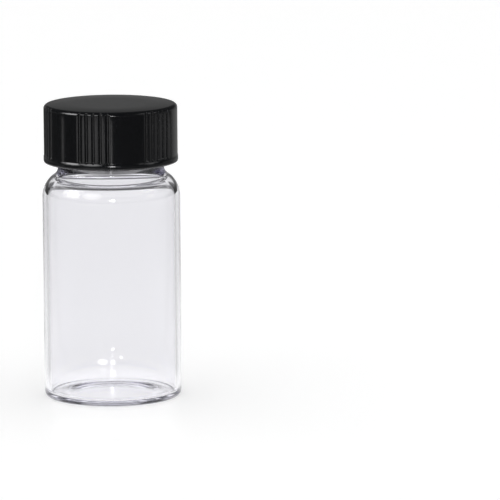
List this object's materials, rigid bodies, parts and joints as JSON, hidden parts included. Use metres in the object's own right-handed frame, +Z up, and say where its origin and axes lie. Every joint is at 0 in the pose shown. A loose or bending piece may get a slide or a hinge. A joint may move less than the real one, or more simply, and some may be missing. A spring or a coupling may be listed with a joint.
{
  "type": "glass sample vial",
  "caption": "Clear glass sample vial with a rounded shoulder, a coarse-threaded neck and a black screw cap with grouped grip grooves over a sealing liner.",
  "frame": {"origin": "centre of the foot ring, on the surface that the vial stands on", "axes": "+Z up along the vial's axis, from the foot to the cap; +X is where the lower end of the neck's thread begins, -Y faces the viewer"},
  "size_m": [0.0274, 0.0274, 0.0592],
  "materials": {
    "clear_glass": "clear, fire-polished",
    "black_phenolic": "glossy moulded phenolic",
    "white_foam": "matt foamed polyethylene"
  },
  "bodies": {
    "vial": {"glass_vial": "clear_glass"},
    "liner": {"cap_liner": "white_foam"},
    "cap": {"screw_cap": "black_phenolic"}
  },
  "joints": [
    {"name": "cap_lift", "type": "slide", "parent": "vial", "child": "liner", "axis": [0, 0, 1], "range_m": [0, 0.01191]},
    {"name": "cap_turn", "type": "hinge", "parent": "liner", "child": "cap", "pos_m": [0, 0, 0.0533], "axis": [0, 0, 1], "range_deg": [0, 1350]}
  ],
  "couplings": [
    {"joint": "cap_lift", "follows": "cap_turn", "m_per_rad": 0.00050532}
  ]
}
